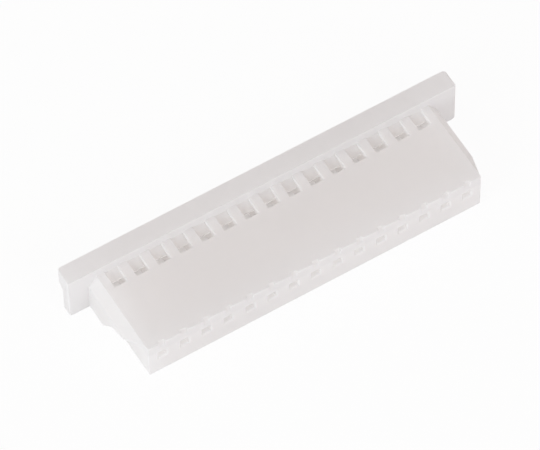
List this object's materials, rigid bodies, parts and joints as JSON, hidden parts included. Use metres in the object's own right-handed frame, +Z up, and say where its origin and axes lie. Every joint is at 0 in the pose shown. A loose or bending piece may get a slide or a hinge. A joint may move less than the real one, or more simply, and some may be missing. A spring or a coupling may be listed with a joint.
{
  "type": "connector housing",
  "caption": "Flat moulded plug housing for a row of crimp contacts, with a lance window over each cavity, keyed ends and a flanged wire end with pull ears.",
  "frame": {"origin": "on the resting face, under the middle of the overall box", "axes": "+X along the row of contacts, -Y out of the mating face towards the header, +Y out of the wire end, +Z up from the resting face to the side with the windows"},
  "size_m": [0.0178, 0.0048, 0.0024],
  "materials": {
    "nylon": "natural, uncoloured moulded nylon, slightly translucent, satin"
  },
  "bodies": {
    "root": {"housing": "nylon"}
  },
  "joints": []
}
